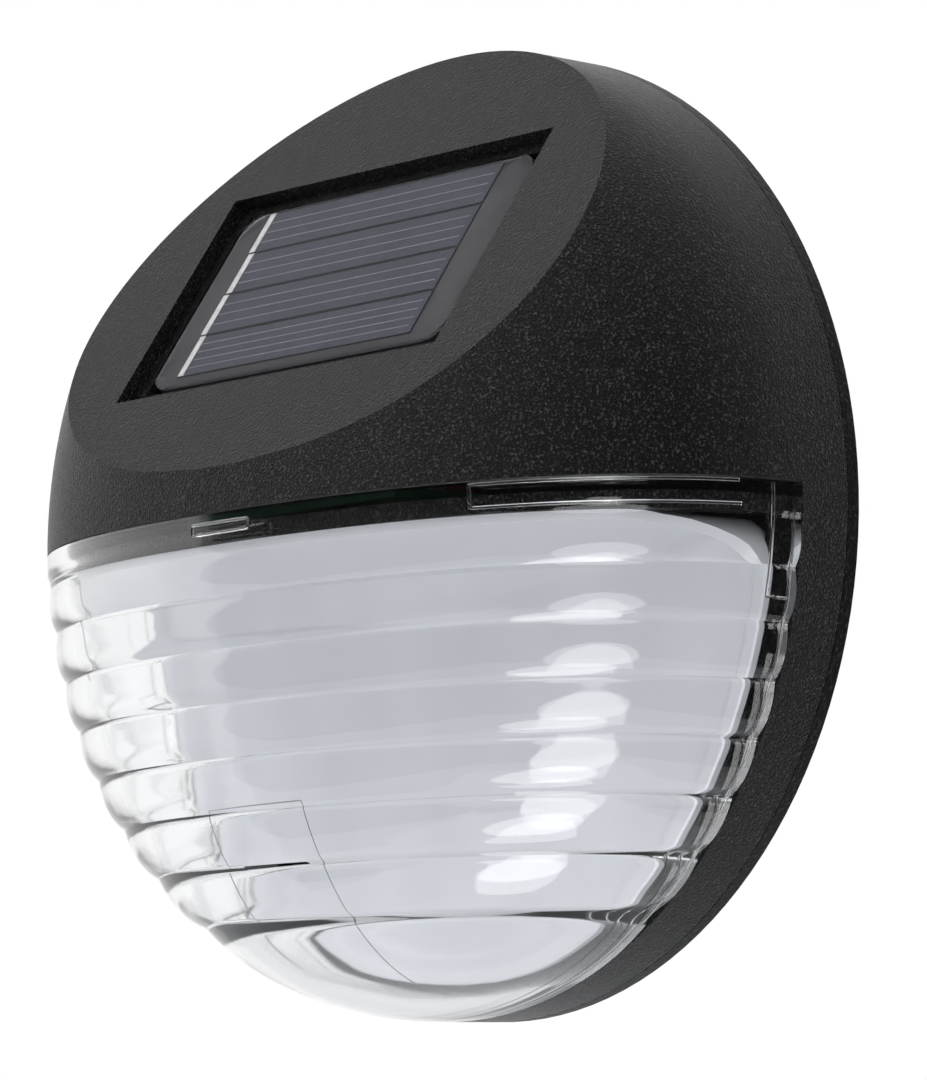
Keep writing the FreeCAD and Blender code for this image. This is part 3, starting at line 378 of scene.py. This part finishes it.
def fingerTree():
    # thin printed lines side by side, laid on the facet
    sizes = {label: "NodeSocketFloat" for label in ("start", "step", "long", "wide", "thick", "tilt")}
    tree, given, result = newTree("cellLines", count="NodeSocketInt", **sizes, middle="NodeSocketVector")
    make = tree.nodes.new
    link = tree.links.new
    first = make("ShaderNodeCombineXYZ")
    link(given.outputs["start"], first.inputs["Y"])
    stride = make("ShaderNodeCombineXYZ")
    link(given.outputs["step"], stride.inputs["Y"])
    row = make("GeometryNodeMeshLine")
    link(given.outputs["count"], row.inputs["Count"])
    link(first.outputs[0], row.inputs["Start Location"])
    link(stride.outputs[0], row.inputs["Offset"])
    extent = make("ShaderNodeCombineXYZ")
    for name, axis in (("long", "X"), ("wide", "Y"), ("thick", "Z")):
        link(given.outputs[name], extent.inputs[axis])
    line = make("GeometryNodeMeshCube")
    link(extent.outputs[0], line.inputs["Size"])
    spread = make("GeometryNodeInstanceOnPoints")
    link(row.outputs[0], spread.inputs["Points"])
    link(line.outputs["Mesh"], spread.inputs["Instance"])
    turn = make("ShaderNodeCombineXYZ")
    link(given.outputs["tilt"], turn.inputs["X"])
    lay = make("GeometryNodeTransform")
    link(spread.outputs[0], lay.inputs["Geometry"])
    link(given.outputs["middle"], lay.inputs["Translation"])
    link(turn.outputs[0], lay.inputs["Rotation"])
    closeTree(tree, lay.outputs[0], given, result)
    return tree


def makeFingers(tree):
    # one run of the tree for each strip, joined in one mesh
    joined = bmesh.new()
    for number, count in enumerate(cells["lines"]):
        low = cells["low"] + number * cells["pitch"] + cells["gap"]
        step = (cells["pitch"] - 2 * cells["gap"]) / (count + 1)
        one = bpy.data.objects.new("cellLine", bpy.data.meshes.new("cellLine"))
        bpy.context.scene.collection.objects.link(one)
        middle = onFacet((cells["left"] + cells["right"]) / 2, 0, cells["face"] + cells["thick"] / 2)
        runTree(one, tree, count=count, start=(low + step) * mm, step=step * mm,
                long=(cells["right"] - cells["left"]) * mm, wide=cells["line"] * mm,
                thick=cells["thick"] * mm, tilt=math.pi / 2 - facetTilt, middle=middle * mm,
                surface=lineMetal)
        joined.from_mesh(one.data)
        bpy.data.objects.remove(one)
    mesh = bpy.data.meshes.new("cellLines")
    joined.to_mesh(mesh)
    joined.free()
    mesh.materials.append(lineMetal)
    piece = bpy.data.objects.new("cellLines", mesh)
    bpy.context.scene.collection.objects.link(piece)
    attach(piece, "housing")
    return piece


boxSides = ((0, 2, 3, 1), (4, 5, 7, 6), (0, 1, 5, 4), (2, 6, 7, 3), (0, 4, 6, 2), (1, 3, 7, 5))


def makeBusbar():
    # four printed pieces that step a little sideways from strip to strip
    points = []
    faces = []
    for number, shift in enumerate(cells["barSteps"]):
        start = len(points)
        low = cells["low"] + number * cells["pitch"] + cells["gap"]
        for out in (cells["face"], cells["face"] + cells["barThick"]):
            for up in (low, low + cells["pitch"] - cells["gap"] * 2):
                for side in (-0.5, 0.5):
                    points.append(onFacet(cells["bar"] + shift + side * cells["barWide"], up, out))
        faces += [tuple(start + corner for corner in side) for side in boxSides]
    addMesh("busbar", points, faces, busMetal, ("panel_busbars",), smooth=False)


lens = {
    "wall": 2.6, "topGap": 0.15, "seatDepth": 9.05,                          # mm
    "firstGroove": 9.4, "pitch": 6.1, "grooves": 7, "groove": 0.6, "notch": 0.7, "lean": 1.2, "swell": 2.3,
    "innerShare": 0.85,                                  # of the ribs' depth, on the inside
    "topRows": 4, "rowsPerRib": 12, "columns": 150, "endRows": 26, "crease": 35,
}


def lensLevels():
    # drops of the rows below the cover's edge, with a row on every groove
    levels = [lens["topGap"]]
    start = lens["firstGroove"] - lens["pitch"]
    levels += [lens["topGap"] + (start - lens["topGap"]) * step / lens["topRows"]
               for step in range(1, lens["topRows"])]
    last = lens["grooves"]
    for rib in range(last):
        levels += [start + lens["pitch"] * (rib + step / lens["rowsPerRib"])
                   for step in range(lens["rowsPerRib"])]
    bottom = start + lens["pitch"] * last
    reach = dome["radius"] - bottom
    levels += [bottom + reach * math.sin(math.pi / 2 * step / lens["endRows"])
               for step in range(lens["endRows"])]
    return levels


def lensRow(level, inset):
    # one row of the lens from left to right, following the dome
    radius = dome["radius"] - inset
    level = level * radius / dome["radius"]
    half = math.sqrt(max(radius ** 2 - level ** 2, 0.0))
    row = []
    for step in range(lens["columns"] + 1):
        x = -half * math.cos(math.pi * step / lens["columns"])
        depth = max(domeDepth(math.hypot(x, level), inset), lens["seatDepth"])
        row.append((x, -depth, -level))
    return row


ribSizes = ("firstGroove", "pitch", "grooves", "groove", "notch", "lean", "swell")


def ribTree():
    # moves both surfaces in at the grooves: along runs down each rib from 0 to 1
    sizes = {label: "NodeSocketFloat" for label in ribSizes}
    tree, given, result = newTree("lensRibs", **sizes)
    make = tree.nodes.new
    link = tree.links.new
    edge = 0.0001    # keeps the row on a groove on its own rib

    def worked(operation, first, second=None):
        node = make("ShaderNodeMath")
        node.operation = operation
        for socket, value in zip(node.inputs, (first, second)):
            if isinstance(value, (int, float)):
                socket.default_value = value
            elif value is not None:
                link(value, socket)
        return node.outputs[0]

    place = make("GeometryNodeInputPosition")
    split = make("ShaderNodeSeparateXYZ")
    link(place.outputs[0], split.inputs[0])
    drop = worked("MULTIPLY", split.outputs["Z"], -1 / mm)
    turns = worked("DIVIDE", worked("SUBTRACT", drop, given.outputs["firstGroove"]), given.outputs["pitch"])
    along = worked("FRACT", worked("ADD", turns, 1.0))
    leaned = worked("POWER", along, given.outputs["lean"])
    # the first rib starts with a shallow notch, and below the last groove the surface swells back and stays
    isFirst = worked("LESS_THAN", turns, -edge)
    isLast = worked("GREATER_THAN", turns, worked("SUBTRACT", given.outputs["grooves"], 1 + edge))
    offCentre = worked("SUBTRACT", worked("MULTIPLY", leaned, worked("SUBTRACT", 2.0, isLast)), 1.0)
    shallow = worked("SUBTRACT", given.outputs["notch"], 1.0)
    low = worked("SUBTRACT", -1.0, worked("MULTIPLY", isFirst, shallow))
    high = worked("SUBTRACT", 1.0, isLast)
    kept = worked("MINIMUM", worked("MAXIMUM", offCentre, low), high)
    hollow = worked("POWER", worked("ABSOLUTE", kept), given.outputs["swell"])
    inside = worked("MULTIPLY", worked("GREATER_THAN", turns, -1 - edge),
                    worked("LESS_THAN", turns, worked("SUBTRACT", given.outputs["grooves"], edge)))
    full = worked("MULTIPLY", given.outputs["groove"], -mm)
    depth = worked("MULTIPLY", worked("MULTIPLY", hollow, inside), full)
    outward = make("GeometryNodeInputNamedAttribute")
    outward.data_type = "FLOAT_VECTOR"
    outward.inputs["Name"].default_value = "outward"
    move = make("ShaderNodeVectorMath")
    move.operation = "SCALE"
    link(outward.outputs["Attribute"], move.inputs[0])
    link(depth, move.inputs["Scale"])
    shift = make("GeometryNodeSetPosition")
    link(given.outputs["Geometry"], shift.inputs["Geometry"])
    link(move.outputs[0], shift.inputs["Offset"])
    closeTree(tree, shift.outputs[0], given, result)
    return tree


def gridFaces(rows, columns, start, flip):
    faces = []
    for row in range(rows - 1):
        for column in range(columns):
            a = start + row * (columns + 1) + column
            quad = (a, a + columns + 1, a + columns + 2, a + 1)
            faces.append(quad[::-1] if flip else quad)
    return faces


def makeLens():
    levels = lensLevels()
    columns = lens["columns"]
    points = []
    outward = []
    for inset in (0.0, lens["wall"]):
        for level in levels:
            row = lensRow(level, inset)
            points += row
            share = 1.0 if inset == 0.0 else lens["innerShare"]
            outward += [domeNormal(point) * share for point in row]
    rows = len(levels)
    inner = rows * (columns + 1)
    faces = gridFaces(rows, columns, 0, False) + gridFaces(rows, columns, inner, True)
    tips = []
    for inset in (0.0, lens["wall"]):
        tips.append(len(points))
        points.append((0, -lens["seatDepth"], -(dome["radius"] - inset)))
        outward.append(Vector())
    for column in range(columns):
        last = (rows - 1) * (columns + 1) + column
        faces.append((last, tips[0], last + 1))
        faces.append((inner + last, inner + last + 1, tips[1]))
        faces.append((column, column + 1, inner + column + 1, inner + column))      # top edge
    for edge, flip in ((0, False), (columns, True)):
        side = [row * (columns + 1) + edge for row in range(rows)]
        innerSide = [inner + number for number in side] + [tips[1]]
        side.append(tips[0])
        for a, b, c, d in zip(side, innerSide, innerSide[1:], side[1:]):
            faces.append((d, c, b, a) if flip else (a, b, c, d))
    made = bpy.data.meshes.new("lens")
    made.from_pydata([Vector(point) * mm for point in points], [], faces)
    store = made.attributes.new("outward", "FLOAT_VECTOR", "POINT")
    for number, direction in enumerate(outward):
        store.data[number].vector = direction
    piece = bpy.data.objects.new("clearLens", made)
    bpy.context.scene.collection.objects.link(piece)
    runTree(piece, ribTree(), surface=clearPlastic, **{name: float(lens[name]) for name in ribSizes})
    piece.data.attributes.remove(piece.data.attributes["outward"])
    piece.data.polygons.foreach_set("use_smooth", [True] * len(piece.data.polygons))
    piece.data.set_sharp_from_angle(angle=math.radians(lens["crease"]))
    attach(piece, "housing")
    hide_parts("lens")
    piece.visible_shadow = False      # lets the lamps' light in, as the real clear plastic does
    piece.visible_diffuse = False
    return piece


fingers = makeFingers(fingerTree())
makeBusbar()
print("panel made:", len(fingers.data.polygons), "faces of cell lines")

lensPiece = makeLens()
print("lens made:", len(lensPiece.data.polygons), "faces")

tray = {
    "rim": 53.0, "top": 3.45, "corner": 5.5, "rimDepth": 10.65, "rimThick": 1.0,
    "backDepth": 8.3, "wall": 1.0,
    # rings as (inset, drop behind the rim's front), (inset, rise over the floor), (inset, drop behind
    # the rim's back) and insets alone
    "rimRings": ((0.0, 0.2), (0.2, 0.0), (1.4, 0.0), (1.8, 0.3)),
    "floorRings": ((2.9, 0.9), (3.5, 0.25), (4.4, 0.03), (6.0, 0.0), (14.0, 0.0)),
    "backRings": ((1.2, 0.0), (1.9, 0.1), (2.0, 1.0)),
    "underside": (4.0, 14.0),
    "cornerShare": 0.3, "leastCorner": 1.0, "crease": 40,
    "roofInset": 3.9, "roofGap": 0.02, "roofSink": 0.5, "arcSteps": 72, "cornerSteps": 10, "topSteps": 48,
}


def halfDisc(radius, top, corner, arcSteps, cornerSteps):
    # outline of the lower half-disc with rounded top corners, from the top left corner round the bottom
    reach = radius - corner
    height = -(top + corner)
    centreX = math.sqrt(reach ** 2 - height ** 2)
    lean = math.atan2(-height, centreX)
    outline = []
    for step in range(cornerSteps + 1):
        turn = math.pi / 2 + (math.pi / 2 + lean) * step / cornerSteps
        outline.append((-centreX + corner * math.cos(turn), height + corner * math.sin(turn)))
    for step in range(1, arcSteps):
        turn = math.pi + lean + (math.pi - 2 * lean) * step / arcSteps
        outline.append((radius * math.cos(turn), radius * math.sin(turn)))
    outline += [(-x, z) for x, z in outline[:cornerSteps + 1][::-1]]
    return outline


def makeTray():
    # a thin dished tray, ring by ring from the rim's back edge over the rim and down to the floor
    rim, floor = tray["rimDepth"], tray["backDepth"]
    rimBack = rim - tray["rimThick"]
    front = [(0.0, rimBack)] + [(inset, rim - drop) for inset, drop in tray["rimRings"]]
    front += [(inset, floor + rise) for inset, rise in tray["floorRings"]]
    back = [(inset, rimBack - drop) for inset, drop in tray["backRings"]]
    back += [(inset, floor - tray["wall"]) for inset in tray["underside"]]
    points = []
    faces = []
    for inset, depth in front + back:
        corner = max(tray["corner"] - inset * tray["cornerShare"], tray["leastCorner"])
        outline = halfDisc(tray["rim"] - inset, tray["top"] + inset, corner, tray["arcSteps"],
                           tray["cornerSteps"])
        points += [(x, -depth, z) for x, z in outline]
    count = len(outline)

    def band(first, second):
        for number in range(count):
            following = (number + 1) % count
            faces.append((first * count + number, first * count + following,
                          second * count + following, second * count + number))

    for ring in range(len(front) - 1):
        band(ring, ring + 1)
    for ring in range(len(front) + 1, len(front) + len(back)):
        band(ring, ring - 1)
    band(len(front), 0)
    last = len(front) - 1
    faces.append(tuple(last * count + number for number in range(count)))
    last = len(front) + len(back) - 1
    faces.append(tuple(last * count + number for number in range(count))[::-1])
    return points, faces


def hoodLine(inset):
    # the tray's outline over its top only, from the left corner's foot to the right one's, with a share
    # that says how far each point is from a foot
    corner = tray["corner"] - inset
    height = -(tray["top"] + tray["corner"])
    centreX = math.sqrt((tray["rim"] - tray["corner"]) ** 2 - height ** 2)
    right = []
    for step in range(tray["cornerSteps"] + 1):
        turn = math.pi / 2 * (1 - step / tray["cornerSteps"])
        right.append((centreX + corner * math.cos(turn), height + corner * math.sin(turn),
                      1 - step / tray["cornerSteps"]))
    left = [(-x, z, share) for x, z, share in right[::-1]]
    across = [(-centreX + 2 * centreX * step / tray["topSteps"], height + corner, 1.0)
              for step in range(1, tray["topSteps"])]
    return left + across + right


def makeHood(points, faces):
    # the white roof under the cover's shelf, which reaches forward to the lens and rounds down to the rim
    start = len(points)
    outer, inner = hoodLine(0.0), hoodLine(tray["wall"])
    count = len(outer)
    for line in (outer, inner):
        for x, z, share in line:
            reach = domeDepth(math.hypot(x, z), tray["roofInset"]) - tray["rimDepth"]
            fade = share * share * (3 - 2 * share)
            points.append((x, -tray["rimDepth"] - max(reach, 0.0) * fade - tray["roofGap"], z))
        for x, z, share in line:
            points.append((x, -tray["backDepth"] - tray["roofSink"], z))
    for step in range(count - 1):
        a = start + step
        b, c, d = a + count, a + 2 * count, a + 3 * count
        faces += [(a, a + 1, b + 1, b), (d, d + 1, c + 1, c), (c, c + 1, a + 1, a), (b, b + 1, d + 1, d)]
    for step, flip in ((0, False), (count - 1, True)):
        a = start + step
        quad = (a, a + count, a + 3 * count, a + 2 * count)
        faces.append(quad[::-1] if flip else quad)


def makeReflector():
    points, faces = makeTray()
    makeHood(points, faces)
    piece = addMesh("reflectorTray", points, faces, whitePlastic, ("reflector",))
    piece.data.set_sharp_from_angle(angle=math.radians(tray["crease"]))


makeReflector()
print("reflector made")

beads = {
    "thick": 0.2, "sides": 6, "lift": 0.1,                                 # mm
    "stripLeft": 36.0, "stripTop": 0.45, "stripLow": 3.0, "end": 56.4,
    "footReach": 57.0, "footDepth": 10.1, "latchLow": 12.8, "latchReach": 57.15, "latchDepth": 13.5,
    "footSteps": 90, "latchSteps": 12, "footEnd": 2,     # footEnd in degrees below the top edge
}
tab = {"left": -4.0, "right": 5.6, "top": 1.3, "low": 2.5, "root": 0.03, "lift": 0.35, "steps": 6}
seams = {
    "thick": 0.055, "sides": 5, "lift": -3.1,
    "gate": ((-10.5, -50.0), (-10.5, -32.0), (6.0, -32.0), (6.0, -52.0)),
    "leftLine": ((-32.7, -4.4), (-32.7, -16.4)),
}


def tubeTree():
    # a thin round line along a piece's edges
    tree, given, result = newTree("thinLines", radius="NodeSocketFloat", sides="NodeSocketInt")
    make = tree.nodes.new
    link = tree.links.new
    route = make("GeometryNodeMeshToCurve")
    link(given.outputs["Geometry"], route.inputs["Mesh"])
    profile = make("GeometryNodeCurvePrimitiveCircle")
    link(given.outputs["sides"], profile.inputs["Resolution"])
    link(given.outputs["radius"], profile.inputs["Radius"])
    tube = make("GeometryNodeCurveToMesh")
    link(route.outputs[0], tube.inputs["Curve"])
    link(profile.outputs["Curve"], tube.inputs["Profile Curve"])
    tube.inputs["Fill Caps"].default_value = True
    closeTree(tree, tube.outputs[0], given, result)
    return tree


def onDome(x, z, lift):
    return Vector((x, -domeDepth(math.hypot(x, z), -lift), z))


def along(corners, lift, steps=30):
    # straight runs between corners, laid on the dome
    route = []
    for (x, z), (nextX, nextZ) in zip(corners, corners[1:]):
        route += [onDome(x + (nextX - x) * step / steps, z + (nextZ - z) * step / steps, lift)
                  for step in range(steps)]
    return route + [onDome(*corners[-1], lift)]


def makeLines(tree, name, routes, sizes, surface):
    points = []
    edges = []
    for route in routes:
        edges += [(len(points) + step, len(points) + step + 1) for step in range(len(route) - 1)]
        points += route
    mesh = bpy.data.meshes.new(name)
    mesh.from_pydata([point * mm for point in points], edges, [])
    piece = bpy.data.objects.new(name, mesh)
    bpy.context.scene.collection.objects.link(piece)
    runTree(piece, tree, radius=sizes["thick"] * mm, sides=sizes["sides"], surface=surface)
    piece.data.polygons.foreach_set("use_smooth", [True] * len(piece.data.polygons))
    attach(piece, "housing")
    piece.visible_shadow = False


def footRoute():
    # round the lens's foot from the right end to the left one
    turns = [math.radians(-beads["footEnd"] - (180 - 2 * beads["footEnd"]) * step / beads["footSteps"])
             for step in range(beads["footSteps"] + 1)]
    return [Vector((beads["footReach"] * math.cos(turn), -beads["footDepth"],
                    beads["footReach"] * math.sin(turn))) for turn in turns]


def latchRoute():
    # down the lens's right end and in to its foot
    top = beads["stripTop"]
    route = []
    for step in range(beads["latchSteps"] + 1):
        z = -top - (beads["latchLow"] - top) * step / beads["latchSteps"]
        route.append(Vector((math.sqrt(beads["latchReach"] ** 2 - z * z), -beads["latchDepth"], z)))
    route.append(Vector((math.sqrt(beads["footReach"] ** 2 - z * z), -beads["footDepth"], z)))
    return route


def stripRoute():
    # three sides of the flat strip at the lens's top right
    top, low, left, end = beads["stripTop"], beads["stripLow"], beads["stripLeft"], beads["end"]
    return along(((end, -low), (left, -low), (left, -top), (end, -top)), beads["lift"])


def tabRoute():
    left, right, top, low = tab["left"], tab["right"], -tab["top"], -tab["low"]
    return along(((left, top), (right, top), (right, low), (left, low), (left, top)),
                 tab["lift"], tab["steps"])


def makeTab():
    # the small raised tab at the lens's top edge
    points = [onDome(x, z, lift) for lift in (tab["root"], tab["lift"])
              for z in (-tab["low"], -tab["top"]) for x in (tab["left"], tab["right"])]
    piece = addMesh("lensTab", points, boxSides, clearPlastic, smooth=False)
    piece.visible_shadow = False


def makeLensDetails():
    tree = tubeTree()
    latch = latchRoute()
    mirrored = [Vector((-point.x, point.y, point.z)) for point in latch]
    routes = [stripRoute(), footRoute(), latch, mirrored, tabRoute()]
    makeLines(tree, "lensBeads", routes, beads, clearPlastic)
    witness = [along(seams["gate"], seams["lift"]), along(seams["leftLine"], seams["lift"])]
    makeLines(tree, "lensSeams", witness, seams, seamGrey)
    makeTab()


makeLensDetails()
print("lens details made")

stage = {
    "floorDrop": 0.9, "floorSize": 6.0, "grain": 300.0,                      # m, m, mm
    "tone": 0.85, "dark": 0.83, "light": 0.87, "roughness": 0.8,
    "cardTone": 0.01, "cardRoughness": 0.9,
}
glow = {"lighting": 0.97, "seen": 1.0, "cool": (0.95, 0.97, 1, 1)}
lampsAim = Vector((0, -0.02, -0.01))    # m, inside the lens
lamps = {
    # name: (azimuth, elevation, distance, width, height, power, lights surfaces), around the lens
    "top": (-50, 50, 0.9, 0.7, 0.7, 3.0, True),
    "key": (46, 34, 0.8, 0.13, 0.13, 2.0, False),       # glitters in the cover's grain
    "front": (44, -34, 0.8, 0.5, 0.62, 2.5, False),     # shows in the ribs
    "low": (28, -60, 0.8, 0.45, 0.4, 1.8, False),
}
cards = {
    # name: (azimuth, distance, width, height), dark cards seen only in reflections and through the lens
    "darkCardLeft": (-22, 1.2, 1.3, 1.5),
    "darkCardFront": (38, 1.2, 1.6, 2.2),
    "darkCardRight": (106, 0.9, 1.6, 2.4),
}


def makeStage():
    size = stage["floorSize"] / 2
    corners = [(-size, -size), (size, -size), (size, size), (-size, size)]
    mesh = bpy.data.meshes.new("floor")
    mesh.from_pydata([(x, y, -stage["floorDrop"]) for x, y in corners], [], [(0, 1, 2, 3)])
    pale, shader, tree = newMaterial("paleFloor", [stage["tone"]] * 3, stage["roughness"])
    cloud = objectNoise(tree, stage["grain"])
    addTint(tree, shader, cloud.outputs["Fac"], [stage["dark"]] * 3, [stage["light"]] * 3)
    mesh.materials.append(pale)
    floor = bpy.data.objects.new("floor", mesh)
    bpy.context.scene.collection.objects.link(floor)
    # dark cards round the camera keep the cover's side and the lens's dark band deep
    black = newMaterial("darkCard", [stage["cardTone"]] * 3, stage["cardRoughness"])[0]
    for name, (turn, distance, wide, high) in cards.items():
        turn = math.radians(turn)
        centre = Vector((math.sin(turn), -math.cos(turn), 0)) * distance
        side = Vector((math.cos(turn), math.sin(turn), 0)) * wide / 2
        lift = Vector((0, 0, high / 2))
        sheet = bpy.data.meshes.new(name)
        sheet.from_pydata([centre - side - lift, centre + side - lift, centre + side + lift,
                           centre - side + lift], [], [(0, 1, 2, 3)])
        sheet.materials.append(black)
        board = bpy.data.objects.new(name, sheet)
        bpy.context.scene.collection.objects.link(board)
        board.visible_camera = board.visible_diffuse = board.visible_shadow = False


def makeWorld():
    world = bpy.data.worlds.new("studio")
    world.use_nodes = True
    tree = world.node_tree
    tree.nodes.clear()
    rays = tree.nodes.new("ShaderNodeLightPath")
    clear = rays.outputs["Is Camera Ray"]
    for ray in ("Is Glossy Ray", "Is Transmission Ray"):
        either = tree.nodes.new("ShaderNodeMath")
        either.operation = "MAXIMUM"
        tree.links.new(clear, either.inputs[0])
        tree.links.new(rays.outputs[ray], either.inputs[1])
        clear = either.outputs[0]
    seen = tree.nodes.new("ShaderNodeBackground")
    seen.inputs["Color"].default_value = (1, 1, 1, 1)
    seen.inputs["Strength"].default_value = glow["seen"]
    lighting = tree.nodes.new("ShaderNodeBackground")
    lighting.inputs["Color"].default_value = glow["cool"]
    lighting.inputs["Strength"].default_value = glow["lighting"]
    mix = tree.nodes.new("ShaderNodeMixShader")
    tree.links.new(clear, mix.inputs[0])
    tree.links.new(lighting.outputs[0], mix.inputs[1])
    tree.links.new(seen.outputs[0], mix.inputs[2])
    out = tree.nodes.new("ShaderNodeOutputWorld")
    tree.links.new(mix.outputs[0], out.inputs[0])
    bpy.context.scene.world = world


def makeLamps():
    for name, (turn, lift, distance, wide, high, power, lightsSurfaces) in lamps.items():
        turn, lift = math.radians(turn), math.radians(lift)
        away = Vector((math.sin(turn) * math.cos(lift), -math.cos(turn) * math.cos(lift), math.sin(lift)))
        data = bpy.data.lights.new(name, "AREA")
        data.shape = "ELLIPSE"
        data.size = wide
        data.size_y = high
        data.energy = power
        lamp = bpy.data.objects.new(name, data)
        bpy.context.scene.collection.objects.link(lamp)
        lamp.visible_diffuse = lightsSurfaces
        lamp.location = lampsAim + away * distance
        lamp.rotation_euler = away.to_track_quat("Z", "Y").to_euler()


makeStage()
makeWorld()
makeLamps()
print("stage and lamps set")
